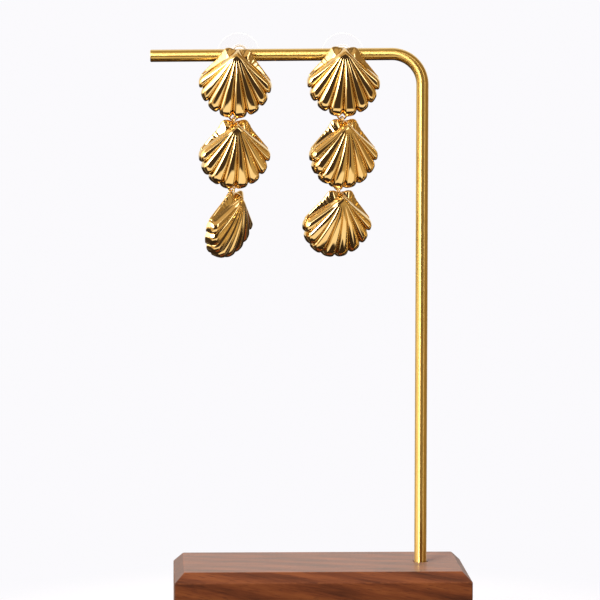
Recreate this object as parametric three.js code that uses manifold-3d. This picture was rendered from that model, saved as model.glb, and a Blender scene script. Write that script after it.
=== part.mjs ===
// A pair of scallop-shell drop earrings hung on a plain display stand: a bent brass rod on a walnut block.
// Millimetres, +Z up. The origin is the centre of the block's underside, +X runs along the block towards
// the upright, and the shells face -Y.
import * as THREE from "three";
import { mergeVertices } from "three/addons/utils/BufferGeometryUtils.js";
import Module from "manifold-3d";

const wasm = await Module();
wasm.setup();

// The walnut block.
const BLOCK_LENGTH = 76.2;
const BLOCK_DEPTH = 38.1;
const BLOCK_HEIGHT = 19.05;
const BLOCK_CHAMFER = 2.5;

// The bent rod: an upright, a quarter bend and an arm that droops a little towards its free end.
const ROD_RADIUS = 3.175 / 2;
const ROD_SIDES = 16;
const ROD_SOCKET_DEPTH = 12;
const ROD_SOCKET_GAP = 0.3;
const UPRIGHT_X = 26.1;
const ARM_HEIGHT_ABOVE_BLOCK = 132;
const ARM_END_X = -44.1;
const BEND_RADIUS = 7.9;
const BEND_STEPS = 10;
const ARM_DROOP_DEG = 0.45;
const POST_HOLE_RADIUS = 1;

// One scallop shell: eight ribs that fan out from the umbo to a half-round rim, on a flat plate with two ears.
// Its own frame has the rim circle's centre at the origin and its flat back in the plane y = 0.
const RIM_RADIUS = 9.45;
const UMBO_Z = 6.9;
const RIB_COUNT = 8;
const RIB_PITCH_DEG = 14.15;
const RIB_STEPS = 6;
const RIB_DEPTH_PER_WIDTH = 0.3;
const RIB_START = 0.8;
const RIB_FULL = 3.4;
const LOBE_NOTCH = 1.15;
const LOBE_BLUNTNESS = 4;
const RIM_EDGE_HEIGHT = 1.2;
const BELLY_HEIGHT = 4.4;
const BELLY_SHARE = 0.66;
const UMBO_HEIGHT = 2.8;
const SIDE_DROP = 1;
const UMBO_RADIUS = 1.45;
const EDGE_ROUNDING_POWER = 12;
const RING_SHARES = [0.12, 0.28, 0.48, 0.68, 0.84, 0.93, 0.98, 1];
const FLANK_SHARES = [0.1, 0.24, 0.45, 0.7, 1];
const UMBO_CAP_STEPS = 4;

// The plate behind the umbo, from the lobe at one end of the fan over the ears to the dip between them.
const PLATE_THICKNESS = 1.1;
const PLATE_OUTLINE = [
  { x: 0, z: 0.6 },
  { x: 8.8, z: 0.6 },
  { x: 9.05, z: 1.1 },
  { x: 6.15, z: 4.4 },
  { x: 4.7, z: 6.1 },
  { x: 3.7, z: 7.85 },
  { x: 3.0, z: 8.55 },
  { x: 1.9, z: 8.6 },
  { x: 1.0, z: 8.3 },
  { x: 0, z: 8.2 },
];

// The hollow in the back of the shell.
const HOLLOW_CENTRE_Z = -0.5;
const HOLLOW_RADIUS = 7;
const HOLLOW_TOP_Z = 4.4;
const HOLLOW_DEPTH = 2.9;
const HOLLOW_POINTS = 28;
const HOLLOW_SHARES = [0.5, 0.8, 0.94, 1];

// Jump rings and the eyes that they pass through.
const LINK_RADIUS = 1.15;
const LINK_WIRE_RADIUS = 0.24;
const LINK_SIDES = 6;
const LINK_STEPS = 16;
const LINK_TURN_SHARE = 0.5;
const EYE_HOLE_RADIUS = 0.6;
const EYE_OUTER_RADIUS = 1;
const EYE_THICKNESS = 0.5;
const EYE_SEGMENTS = 16;
const EYE_STEM_BITE = 0.5;
const EYE_BEHIND_BACK = 1.1;
const LOWER_EYE_Z = -7.85;
const UPPER_EYE_Z = 8.2;

// The ear post and the clear back that is pushed on it behind the arm.
const POST_RADIUS = 0.4;
const POST_SIDES = 10;
const POST_Z = 6.55;
const POST_BITE = 1.6;
const POST_END = 8;
const SHELL_STANDOFF = 0.7;
const BACK_STANDOFF = 0.75;
const BACK_BORE_RADIUS = 0.7;
const BACK_DISC_RADIUS = 5.6;
const BACK_DISC_THICKNESS = 0.6;
const BACK_HUB_RADIUS = 2.3;
const BACK_HUB_TIP_RADIUS = 1.7;
const BACK_HUB_LENGTH = 4.4;
const BACK_SEGMENTS = 28;

// How each earring hangs. Turns are about the vertical and are positive where the face looks towards +X.
// Tilts carry the lower end back, as the weight in front of the links does.
const EARRINGS = [
  {
    side: "left",
    postX: -21.5,
    topTurn: -5,
    topTilt: 5,
    topRoll: 4.5,
    middleTilt: 7.2,
    middleTurn: 19,
    lowerTilt: 18.9,
    lowerTurn: 43,
  },
  {
    side: "right",
    postX: 5.65,
    topTurn: 2,
    topTilt: 0,
    topRoll: 1.8,
    middleTilt: 7.2,
    middleTurn: 20,
    lowerTilt: 18.9,
    lowerTurn: -2,
  },
];

const rad = THREE.MathUtils.degToRad;
const clamp = THREE.MathUtils.clamp;

const brass = new THREE.MeshStandardMaterial({ color: 0xb98a3c, roughness: 0.35, metalness: 1 });
const gold = new THREE.MeshStandardMaterial({ color: 0xe0a93f, roughness: 0.12, metalness: 1 });
const walnut = new THREE.MeshStandardMaterial({ color: 0x5a3018, roughness: 0.55, metalness: 0 });
const clearPlastic = new THREE.MeshStandardMaterial({
  color: 0xf2e9e6,
  roughness: 0.1,
  metalness: 0,
  transparent: true,
  opacity: 0.3,
});

// A closed geometry as a manifold-3d solid.
function solidOf(geometry) {
  const bare = geometry.clone();
  bare.deleteAttribute("normal");
  bare.deleteAttribute("uv");
  const merged = mergeVertices(bare, 1e-4);
  return new wasm.Manifold(
    new wasm.Mesh({
      numProp: 3,
      vertProperties: merged.attributes.position.array,
      triVerts: new Uint32Array(merged.index.array),
    }),
  );
}

// A manifold-3d solid as a geometry.
function geometryOf(solid) {
  const mesh = solid.getMesh();
  const geometry = new THREE.BufferGeometry();
  geometry.setAttribute("position", new THREE.BufferAttribute(mesh.vertProperties, 3));
  geometry.setIndex(new THREE.BufferAttribute(mesh.triVerts, 1));
  geometry.computeVertexNormals();
  return geometry;
}

// A round bar along Y, from one depth to another.
function barAlongY(radius, from, to, sides, x = 0, z = 0) {
  const geometry = new THREE.CylinderGeometry(radius, radius, to - from, sides);
  return geometry.translate(x, (from + to) / 2, z);
}

// A surface of rings of equal point count between two poles, as one closed geometry.
function closedRings(firstPole, rings, lastPole) {
  const count = rings[0].length;
  const points = [firstPole, ...rings.flat(), lastPole];
  const last = points.length - 1;
  const faces = [];
  for (let i = 0; i < count; i += 1) {
    const next = (i + 1) % count;
    faces.push(0, 1 + i, 1 + next);
    for (let ring = 0; ring + 1 < rings.length; ring += 1) {
      const here = 1 + ring * count;
      const there = here + count;
      faces.push(here + i, there + i, there + next);
      faces.push(here + i, there + next, here + next);
    }
    const end = 1 + (rings.length - 1) * count;
    faces.push(end + i, last, end + next);
  }
  const geometry = new THREE.BufferGeometry();
  geometry.setAttribute("position", new THREE.Float32BufferAttribute(points.flat(), 3));
  geometry.setIndex(faces);
  return geometry;
}

const FAN_HALF = rad((RIB_PITCH_DEG * RIB_COUNT) / 2);

// Where an angle lies across its rib: 0 on the crest, 1 in the grooves beside it.
function fromCrest(angle) {
  const across = angle / rad(RIB_PITCH_DEG);
  return Math.abs(2 * (across - Math.floor(across) - 0.5));
}

// The rim's distance from the umbo, scalloped by the lobes at the ribs' ends.
function rimDistance(angle) {
  const side = UMBO_Z * Math.sin(angle);
  const round = UMBO_Z * Math.cos(angle) + Math.sqrt(RIM_RADIUS ** 2 - side ** 2);
  return round - LOBE_NOTCH * fromCrest(angle) ** LOBE_BLUNTNESS;
}

// The angle by which the flank leaves the last rib's edge, on its way past the rounded umbo.
const FLANK_ANGLE = Math.asin(UMBO_RADIUS / rimDistance(FAN_HALF));

// The fan's outline as distance from the umbo: lobes, then the straight flank, then round over the umbo.
function fanOutline(angle) {
  if (angle <= FAN_HALF) return rimDistance(angle);
  const off = angle - FAN_HALF + FLANK_ANGLE;
  return off < Math.PI / 2 ? UMBO_RADIUS / Math.sin(off) : UMBO_RADIUS;
}

// The fan's height above the back: a belly that is highest below the middle, cut by grooves, rounded at the rim.
function fanHeight(share, angle) {
  const distance = share * fanOutline(angle);
  const turn = Math.min(angle, FAN_HALF);
  const reach = Math.min(distance / (BELLY_SHARE * rimDistance(turn)), 1);
  const rise = (BELLY_HEIGHT - UMBO_HEIGHT - SIDE_DROP * (turn / FAN_HALF) ** 2) * reach;
  const crown = UMBO_HEIGHT + rise * (2 - reach);
  const depth =
    RIB_DEPTH_PER_WIDTH *
    distance *
    rad(RIB_PITCH_DEG) *
    THREE.MathUtils.smoothstep(distance, RIB_START, RIB_FULL);
  const groove = 1 - (1 - fromCrest(turn) ** 2.2) ** 0.75;
  const rounding = Math.sqrt(1 - share ** EDGE_ROUNDING_POWER);
  return RIM_EDGE_HEIGHT + (crown - depth * groove - RIM_EDGE_HEIGHT) * rounding;
}

// Angles round the umbo, from straight down: evenly over the ribs, along the flanks and over the umbo.
function fanAngles() {
  const half = (RIB_COUNT / 2) * RIB_STEPS;
  const ribs = Array.from({ length: 2 * half + 1 }, (_, i) => ((i - half) / half) * FAN_HALF);
  const flankEnd = Math.PI / 2 - FLANK_ANGLE;
  const flank = FLANK_SHARES.map((share) => FAN_HALF + share * flankEnd);
  const capStart = flank.at(-1);
  const cap = Array.from(
    { length: UMBO_CAP_STEPS },
    (_, i) => capStart + ((i + 1) / UMBO_CAP_STEPS) * (Math.PI - capStart),
  );
  const side = [...flank, ...cap];
  return [...side.slice(0, -1).reverse().map((angle) => -angle), ...ribs, ...side];
}

// The ribbed fan as a solid on the back plane.
function fanSolid() {
  const angles = fanAngles();
  const rings = RING_SHARES.map((share) =>
    angles.map((angle) => {
      const distance = share * fanOutline(Math.abs(angle));
      return [
        distance * Math.sin(angle),
        -fanHeight(share, Math.abs(angle)),
        UMBO_Z - distance * Math.cos(angle),
      ];
    }),
  );
  const backEdge = rings.at(-1).map(([x, , z]) => [x, 0, z]);
  return solidOf(closedRings([0, -UMBO_HEIGHT, UMBO_Z], [...rings, backEdge], [0, 0, UMBO_Z]));
}

// The plate with the ears as a solid on the back plane.
function plateSolid() {
  const right = PLATE_OUTLINE.map(({ x, z }) => new THREE.Vector2(x, z));
  const left = PLATE_OUTLINE.slice(1, -1).map(({ x, z }) => new THREE.Vector2(-x, z));
  const outline = new THREE.Shape([...right, ...left.reverse()]);
  const plate = new THREE.ExtrudeGeometry(outline, {
    depth: PLATE_THICKNESS,
    curveSegments: 1,
    bevelEnabled: false,
  });
  return solidOf(plate.rotateX(Math.PI / 2));
}

// The hollow as a solid: round below, drawn up to a blunt tip towards the umbo, domed inside.
function hollowSolid() {
  const rings = HOLLOW_SHARES.map((share) =>
    Array.from({ length: HOLLOW_POINTS }, (_, i) => {
      const angle = (2 * Math.PI * i) / HOLLOW_POINTS;
      const up = (1 - Math.cos(angle)) / 2;
      const reach = THREE.MathUtils.lerp(HOLLOW_RADIUS, HOLLOW_TOP_Z - HOLLOW_CENTRE_Z, up);
      const depth = HOLLOW_DEPTH * Math.sqrt(1 - share ** 4);
      return [
        share * reach * Math.sin(angle),
        -depth,
        HOLLOW_CENTRE_Z - share * reach * Math.cos(angle),
      ];
    }),
  );
  const below = rings.at(-1).map(([x, , z]) => [x, 1, z]);
  const top = [0, -HOLLOW_DEPTH, HOLLOW_CENTRE_Z];
  return solidOf(closedRings(top, [...rings, below], [0, 1, HOLLOW_CENTRE_Z]));
}

function shellBody() {
  return fanSolid().add(plateSolid()).subtract(hollowSolid());
}

// A round eye on a short stem, soldered upright to the back at a height, with its hole running along X.
function addEye(body, eyeZ, stemZ) {
  const disc = (radius, thickness) =>
    solidOf(
      new THREE.CylinderGeometry(radius, radius, thickness, EYE_SEGMENTS)
        .rotateZ(Math.PI / 2)
        .translate(0, EYE_BEHIND_BACK, eyeZ),
    );
  const stemLength = EYE_BEHIND_BACK + EYE_STEM_BITE;
  const stem = new THREE.BoxGeometry(EYE_THICKNESS, stemLength, EYE_OUTER_RADIUS).translate(
    0,
    EYE_BEHIND_BACK - stemLength / 2,
    stemZ,
  );
  return body
    .add(solidOf(stem))
    .add(disc(EYE_OUTER_RADIUS, EYE_THICKNESS))
    .subtract(disc(EYE_HOLE_RADIUS, 2 * EYE_THICKNESS));
}

const body = shellBody();
const postStart = -POST_BITE;
const postOffset = ROD_RADIUS + SHELL_STANDOFF;
const earPost = solidOf(
  barAlongY(POST_RADIUS, postStart, postOffset + POST_END, POST_SIDES, 0, POST_Z),
);
const topShell = geometryOf(addEye(body, LOWER_EYE_Z, LOWER_EYE_Z).add(earPost));
const lowerShellSolid = addEye(body, UPPER_EYE_Z, UPPER_EYE_Z - EYE_OUTER_RADIUS / 2);
const middleShell = geometryOf(addEye(lowerShellSolid, LOWER_EYE_Z, LOWER_EYE_Z));
const lowerShell = geometryOf(lowerShellSolid);

// A jump ring in the XZ plane that hangs from the origin by its upper wire.
const jumpRing = new THREE.TorusGeometry(LINK_RADIUS, LINK_WIRE_RADIUS, LINK_SIDES, LINK_STEPS)
  .rotateX(Math.PI / 2)
  .rotateY(Math.PI / LINK_STEPS)
  .translate(0, 0, -LINK_RADIUS);

// The clear ear back: a thin disc with a hub behind it, on a bore for the post.
function earBack() {
  const profile = [
    [BACK_BORE_RADIUS, 0],
    [BACK_DISC_RADIUS, 0],
    [BACK_DISC_RADIUS, BACK_DISC_THICKNESS],
    [BACK_HUB_RADIUS, BACK_DISC_THICKNESS],
    [BACK_HUB_TIP_RADIUS, BACK_HUB_LENGTH],
    [BACK_BORE_RADIUS, BACK_HUB_LENGTH],
    [BACK_BORE_RADIUS, 0],
  ].map(([radius, along]) => new THREE.Vector2(radius, along));
  return new THREE.LatheGeometry(profile, BACK_SEGMENTS);
}

// The rod's centre line, with its steps where the bend needs them.
class RodPath extends THREE.Curve {
  constructor() {
    super();
    const bendX = UPRIGHT_X - BEND_RADIUS;
    const bendZ = BLOCK_HEIGHT + ARM_HEIGHT_ABOVE_BLOCK - BEND_RADIUS;
    const foot = BLOCK_HEIGHT - ROD_SOCKET_DEPTH + ROD_SOCKET_GAP;
    this.stops = [new THREE.Vector3(UPRIGHT_X, 0, foot)];
    for (let i = 0; i <= BEND_STEPS; i += 1) {
      const angle = rad((90 + ARM_DROOP_DEG) * (i / BEND_STEPS));
      this.stops.push(
        new THREE.Vector3(
          bendX + BEND_RADIUS * Math.cos(angle),
          0,
          bendZ + BEND_RADIUS * Math.sin(angle),
        ),
      );
    }
    this.stops.push(new THREE.Vector3(ARM_END_X, 0, armCentreZ(ARM_END_X)));
  }

  getPoint(t) {
    const along = clamp(t, 0, 1) * (this.stops.length - 1);
    const i = Math.min(Math.floor(along), this.stops.length - 2);
    return this.stops[i].clone().lerp(this.stops[i + 1], along - i);
  }

  getPointAt(u) {
    return this.getPoint(u);
  }

  getTangentAt(u) {
    const i = Math.round(u * (this.stops.length - 1));
    const before = this.stops[Math.max(i - 1, 0)];
    const after = this.stops[Math.min(i + 1, this.stops.length - 1)];
    const here = this.stops[i];
    const arriving = here.clone().sub(before).normalize();
    const leaving = after.clone().sub(here).normalize();
    return arriving.add(leaving).normalize();
  }
}

// The height of the arm's centre line at a place along X.
function armCentreZ(x) {
  const armStartX = UPRIGHT_X - BEND_RADIUS;
  const top = BLOCK_HEIGHT + ARM_HEIGHT_ABOVE_BLOCK;
  return top - (armStartX - x) * Math.tan(rad(ARM_DROOP_DEG));
}

// The bent rod, drilled through where the ear posts pass.
function bentRod() {
  const section = new THREE.Shape();
  for (let i = 0; i < ROD_SIDES; i += 1) {
    const angle = (2 * Math.PI * i) / ROD_SIDES;
    const x = ROD_RADIUS * Math.cos(angle);
    const y = ROD_RADIUS * Math.sin(angle);
    if (i === 0) section.moveTo(x, y);
    else section.lineTo(x, y);
  }
  section.closePath();
  const path = new RodPath();
  let rod = solidOf(
    new THREE.ExtrudeGeometry(section, {
      steps: path.stops.length - 1,
      curveSegments: 1,
      bevelEnabled: false,
      extrudePath: path,
    }),
  );
  for (const { postX } of EARRINGS) {
    const hole = barAlongY(
      POST_HOLE_RADIUS,
      -2 * ROD_RADIUS,
      2 * ROD_RADIUS,
      POST_SIDES,
      postX,
      armCentreZ(postX),
    );
    rod = rod.subtract(solidOf(hole));
  }
  return geometryOf(rod);
}

// The walnut block with its upper edges chamfered and a blind socket for the upright.
function walnutBlock() {
  const halfLength = BLOCK_LENGTH / 2;
  const halfDepth = BLOCK_DEPTH / 2;
  const levels = [
    { z: 0, inset: 0 },
    { z: BLOCK_HEIGHT - BLOCK_CHAMFER, inset: 0 },
    { z: BLOCK_HEIGHT, inset: BLOCK_CHAMFER },
  ];
  const rings = levels.map(({ z, inset }) => {
    const x = halfLength - inset;
    const y = halfDepth - inset;
    return [
      [x, -y, z],
      [-x, -y, z],
      [-x, y, z],
      [x, y, z],
    ];
  });
  const block = solidOf(closedRings([0, 0, 0], rings, [0, 0, BLOCK_HEIGHT]));
  const socket = new THREE.CylinderGeometry(
    ROD_RADIUS + ROD_SOCKET_GAP,
    ROD_RADIUS + ROD_SOCKET_GAP,
    2 * ROD_SOCKET_DEPTH,
    ROD_SIDES,
  )
    .rotateX(Math.PI / 2)
    .translate(UPRIGHT_X, 0, BLOCK_HEIGHT);
  return geometryOf(block.subtract(solidOf(socket)));
}

function named(name, geometry, material) {
  const mesh = new THREE.Mesh(geometry, material);
  mesh.name = name;
  return mesh;
}

// A plumb jump ring and the shell on it: the ring takes part of the turn, and the shell swings on the ring.
function hangingDrop(side, level, shellGeometry, tilt, turn) {
  const link = new THREE.Group();
  link.rotation.z = rad(turn);
  const ring = named(`${side}_${level === "middle" ? "upper" : "lower"}_jump_ring`, jumpRing, gold);
  ring.rotation.z = rad(-turn * (1 - LINK_TURN_SHARE));
  const drop = new THREE.Group();
  drop.position.z = -2 * LINK_RADIUS;
  drop.rotation.x = rad(tilt);
  const shell = named(`${side}_${level}_shell`, shellGeometry, gold);
  shell.position.set(0, -EYE_BEHIND_BACK, -UPPER_EYE_Z);
  drop.add(shell);
  link.add(ring, drop);
  return { link, drop };
}

// One earring on the arm, from its post down.
function earring(hung) {
  const { side, postX, topTurn, topTilt, topRoll } = hung;
  const { middleTilt, middleTurn, lowerTilt, lowerTurn } = hung;
  const group = new THREE.Group();
  group.position.set(postX, 0, armCentreZ(postX));
  group.rotation.z = rad(topTurn);

  const top = new THREE.Group();
  top.rotation.set(rad(topTilt), rad(topRoll), 0);
  const shell = named(`${side}_top_shell`, topShell, gold);
  shell.position.set(0, -postOffset, -POST_Z);
  const back = named(`${side}_ear_back`, earBack(), clearPlastic);
  back.position.y = ROD_RADIUS + BACK_STANDOFF;
  top.add(shell, back);
  group.add(top);

  const eye = new THREE.Vector3(0, EYE_BEHIND_BACK - postOffset, LOWER_EYE_Z - POST_Z);
  eye.applyEuler(top.rotation);
  const middle = hangingDrop(side, "middle", middleShell, middleTilt, middleTurn);
  middle.link.position.copy(eye);
  group.add(middle.link);

  const lower = hangingDrop(side, "lower", lowerShell, lowerTilt, lowerTurn);
  const plumb = new THREE.Group();
  plumb.position.z = LOWER_EYE_Z - UPPER_EYE_Z;
  plumb.rotation.x = rad(-middleTilt);
  plumb.add(lower.link);
  middle.drop.add(plumb);
  return group;
}

const part = new THREE.Group();
part.add(named("walnut_block", walnutBlock(), walnut));
part.add(named("brass_rod", bentRod(), brass));
for (const hung of EARRINGS) part.add(earring(hung));

export default part;
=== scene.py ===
"""Looks for a pair of scallop-shell drop earrings hung on a brass and walnut display stand.

Sizes in the classes are millimetres, in the frame of the solids: the origin is the centre of the block's
underside, +X runs along the block towards the upright, +Z is up, and the shells face -Y. Meshes and the
studio are in metres.
"""

from __future__ import annotations

import logging
import sys
from dataclasses import dataclass, field
from enum import Enum

import bpy
import numpy as np
from mathutils import Matrix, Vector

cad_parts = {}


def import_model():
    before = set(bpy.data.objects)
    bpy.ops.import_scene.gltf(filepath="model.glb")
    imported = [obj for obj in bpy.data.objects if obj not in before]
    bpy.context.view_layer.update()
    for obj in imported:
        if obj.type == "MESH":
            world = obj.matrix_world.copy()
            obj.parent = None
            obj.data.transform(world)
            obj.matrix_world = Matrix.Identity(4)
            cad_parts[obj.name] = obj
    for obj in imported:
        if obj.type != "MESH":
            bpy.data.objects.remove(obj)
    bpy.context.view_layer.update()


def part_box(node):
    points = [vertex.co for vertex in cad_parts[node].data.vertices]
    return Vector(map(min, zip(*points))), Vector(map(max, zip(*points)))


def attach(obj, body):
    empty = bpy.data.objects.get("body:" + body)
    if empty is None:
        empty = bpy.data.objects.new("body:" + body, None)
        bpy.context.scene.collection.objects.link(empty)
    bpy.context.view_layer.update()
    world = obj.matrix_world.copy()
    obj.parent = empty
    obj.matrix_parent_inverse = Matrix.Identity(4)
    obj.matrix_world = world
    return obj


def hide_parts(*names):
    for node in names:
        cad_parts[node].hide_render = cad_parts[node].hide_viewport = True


LOG = logging.getLogger("earring_stand")
MM = 0.001

Socket = bpy.types.NodeSocket
Material = bpy.types.Material


class Slot(Enum):
    """The record's material slots."""

    WALNUT = "walnut"
    BRASS = "satin_brass"
    GOLD = "polished_gold"
    CLEAR = "clear_plastic"


class Level(Enum):
    """The three shells of an earring, from the post down."""

    TOP = "top"
    MIDDLE = "middle"
    LOWER = "lower"


def moved(x: float, y: float, z: float) -> np.ndarray:
    """Gives the 4x4 matrix of a move."""
    matrix = np.eye(4)
    matrix[:3, 3] = (x, y, z)
    return matrix


def turned(axis: str, degrees: float) -> np.ndarray:
    """Gives the 4x4 matrix of a right-handed turn.

    Args:
        axis: The axis to turn about, x, y or z.
        degrees: The angle.

    Returns:
        The matrix.
    """
    first, second = {"x": (1, 2), "y": (2, 0), "z": (0, 1)}[axis]
    cosine, sine = np.cos(np.radians(degrees)), np.sin(np.radians(degrees))
    matrix = np.eye(4)
    matrix[first, first] = matrix[second, second] = cosine
    matrix[first, second], matrix[second, first] = -sine, sine
    return matrix


def placed(points: np.ndarray, matrix: np.ndarray) -> np.ndarray:
    """Carries points by a 4x4 matrix; the last axis of the array holds x, y and z."""
    return points @ matrix[:3, :3].T + matrix[:3, 3]


@dataclass
class Patch:
    """A closed surface as a grid of points whose columns run round it and whose rows end in two poles.

    Attributes:
        points: Grid of points, rows by columns by 3, in millimetres.
        start: The pole before the first row, or None where the rows close on themselves.
        end: The pole after the last row.
        masks: Named values on the grid, rows by columns, for the materials.
        lengthwise: Distance along the rows in millimetres for the UV map, or None.
    """

    points: np.ndarray
    start: np.ndarray | None
    end: np.ndarray | None
    masks: dict[str, np.ndarray] = field(default_factory=dict)
    lengthwise: np.ndarray | None = None

    def vertices(self) -> np.ndarray:
        """Gives the grid's points row by row, then the poles."""
        flat = self.points.reshape(-1, 3)
        if self.start is None:
            return flat
        return np.vstack([flat, self.start, self.end])

    def faces(self) -> list[list[int]]:
        """Gives quads between neighbouring rows and triangles to the poles, wound outwards.

        Returns:
            Vertex numbers of each face; all are turned round together if they enclose a negative volume.
        """
        rows, columns = self.points.shape[:2]
        number = np.arange(rows * columns).reshape(rows, columns)
        if self.start is None:
            number = np.vstack([number, number[:1]])
        beside = np.roll(number, -1, axis=1)
        quads = np.stack([number[:-1], beside[:-1], beside[1:], number[1:]], axis=-1).reshape(-1, 4)
        triangles = np.zeros((0, 3), int)
        if self.start is not None:
            first = np.full(columns, rows * columns)
            lower = np.stack([first, beside[0], number[0]], axis=-1)
            triangles = np.vstack([lower, np.stack([first + 1, number[-1], beside[-1]], axis=-1)])
        if self.volume(quads, triangles) < 0:
            quads, triangles = quads[:, ::-1], triangles[:, ::-1]
        return quads.tolist() + triangles.tolist()

    def volume(self, quads: np.ndarray, triangles: np.ndarray) -> float:
        """Gives six times the enclosed volume: the sum of corner triple products over all triangles.

        Args:
            quads: Vertex numbers of the four-sided faces.
            triangles: Vertex numbers of the three-sided faces.

        Returns:
            The signed sum, positive where the faces look outwards.
        """
        corners = np.vstack([quads[:, [0, 1, 2]], quads[:, [0, 2, 3]], triangles])
        a, b, c = (self.vertices()[corners[:, i]] for i in range(3))
        return float(np.sum(a * np.cross(b, c)))

    def uv(self) -> np.ndarray:
        """Gives each face corner's UV: share of the way round, and metres along the rows.

        Returns:
            Corners by 2, in the order of the faces.
        """
        rows, columns = self.points.shape[:2]
        along = np.zeros(rows) if self.lengthwise is None else self.lengthwise * MM
        faces = self.faces()
        corners = np.concatenate([np.asarray(face) for face in faces])
        face_of = np.repeat(np.arange(len(faces)), [len(face) for face in faces])
        pole = corners >= rows * columns
        column = np.where(pole, 0, corners % columns)
        row = np.where(pole, np.where(corners == rows * columns, 0, rows - 1), corners // columns)
        wraps = np.zeros(len(faces), bool)
        np.logical_or.at(wraps, face_of, (column == columns - 1) & ~pole)
        around = np.where(wraps[face_of] & (column == 0) & ~pole, columns, column) / columns
        return np.stack([around, along[row]], axis=-1)


def softened(corners: list[tuple[float, float]], cuts: list[float], steps: int = 5) -> np.ndarray:
    """Rounds the inner corners of a line in a plane.

    Each corner becomes a quadratic Bezier arc that starts and ends a cut's length away from it, with one
    more point just outside each end, so that the shading of the flats stays flat.

    Args:
        corners: The line's points.
        cuts: How far the rounding reaches from each point; 0 keeps it sharp.
        steps: Points along each arc.

    Returns:
        The rounded line as points by 2.
    """
    line = np.asarray(corners, float)
    t = np.linspace(0, 1, steps)[:, None]
    parts = [line[:1]]
    for before, corner, after, cut in zip(line[:-2], line[1:-1], line[2:], cuts[1:-1]):
        if cut == 0:
            parts.append(corner[None])
            continue
        back = (before - corner) / np.linalg.norm(before - corner)
        on = (after - corner) / np.linalg.norm(after - corner)
        arc = (1 - t) ** 2 * (corner + cut * back) + 2 * t * (1 - t) * corner + t**2 * (corner + cut * on)
        parts += [corner + 1.3 * cut * back[None], arc, corner + 1.3 * cut * on[None]]
    parts.append(line[-1:])
    return np.vstack(parts)


def lathed(profile: np.ndarray, sides: int) -> Patch:
    """Turns a closed profile about the Y axis.

    A point at radius r and height h goes to (r cos a, h, r sin a) for angles a all the way round.

    Args:
        profile: Radius and height of each point. Its ends lie on the axis, or it closes on itself.
        sides: Number of angles.

    Returns:
        The closed surface.
    """
    a = np.linspace(0, 2 * np.pi, sides, endpoint=False)
    on_axis = profile[0, 0] == 0
    ring = profile[1:-1] if on_axis else profile
    radius, height = ring[:, :1], ring[:, 1:]
    points = np.stack([radius * np.cos(a), height + 0 * a, radius * np.sin(a)], axis=-1)
    if not on_axis:
        return Patch(points, None, None)
    return Patch(points, np.array([0, profile[0, 1], 0]), np.array([0, profile[-1, 1], 0]))


def tube(path: np.ndarray, across: tuple[float, float, float], radius: np.ndarray, sides: int) -> Patch:
    """Carries a circle along a path that lies in one plane.

    With the path's unit direction d and the plane's normal n, the ring at a point p is
    p + r (cos a (n x d) + sin a n). The rows end in poles at the path's ends.

    Args:
        path: Points of the path, n by 3.
        across: The plane's unit normal.
        radius: The ring's radius at each point.
        sides: Number of points round each ring.

    Returns:
        The closed surface with its length in millimetres along the rows.
    """
    a = np.linspace(0, 2 * np.pi, sides, endpoint=False)
    direction = np.gradient(path, axis=0)
    direction /= np.linalg.norm(direction, axis=1, keepdims=True)
    normal = np.asarray(across, float)
    side = np.cross(normal, direction)
    ring = np.cos(a)[:, None] * side[:, None] + np.sin(a)[:, None] * normal
    points = path[:, None] + radius[:, None, None] * ring
    steps = np.linalg.norm(np.diff(path, axis=0), axis=1)
    return Patch(points, path[0], path[-1], lengthwise=np.concatenate([[0], np.cumsum(steps)]))


def pin(y: np.ndarray, radius: np.ndarray, z: float, sides: int) -> Patch:
    """Carries a circle of given radii along a line at height z that runs along Y."""
    return tube(np.column_stack([0 * y, y, z + 0 * y]), (1, 0, 0), radius, sides)


def smoothstep(value: np.ndarray, low: float, high: float) -> np.ndarray:
    """Rises from 0 at low to 1 at high as 3t^2 - 2t^3."""
    t = np.clip((value - low) / (high - low), 0, 1)
    return t * t * (3 - 2 * t)


def make_piece(
    name: str,
    patches: list[Patch],
    place: np.ndarray,
    body: str,
    node: str,
    crease_deg: float = 40,
) -> bpy.types.Object:
    """Puts patches into one mesh object that rides on a body and stands for a node.

    Args:
        name: The new object's name.
        patches: Closed surfaces in the piece's own frame, in millimetres.
        place: The 4x4 matrix, in millimetres, from that frame to the part's.
        body: The body it rides on.
        node: The solid that it stands for.
        crease_deg: Edges that turn by more than this are shaded sharp.

    Returns:
        The object, at the origin, with its place in its mesh.
    """
    starts = np.cumsum([0] + [len(patch.vertices()) for patch in patches])
    vertices = np.vstack([placed(patch.vertices(), place) for patch in patches]) * MM
    faces = [
        [int(start) + corner for corner in face]
        for start, patch in zip(starts, patches)
        for face in patch.faces()
    ]
    mesh = bpy.data.meshes.new(name)
    mesh.from_pydata(vertices.tolist(), [], faces)
    layer = mesh.uv_layers.new(name="UVMap")
    layer.data.foreach_set("uv", np.vstack([patch.uv() for patch in patches]).ravel())
    for mask in sorted({key for patch in patches for key in patch.masks}):
        values = np.zeros(len(vertices), np.float32)
        for start, patch in zip(starts, patches):
            if mask in patch.masks:
                grid = patch.masks[mask].ravel()
                values[start : start + len(grid)] = grid
        mesh.attributes.new(mask, "FLOAT", "POINT").data.foreach_set("value", values)
    mesh.shade_smooth()
    mesh.set_sharp_from_angle(angle=np.radians(crease_deg))
    piece = bpy.data.objects.new(name, mesh)
    bpy.context.scene.collection.objects.link(piece)
    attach(piece, body)
    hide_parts(node)
    report_fit(piece, node)
    return piece


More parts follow.
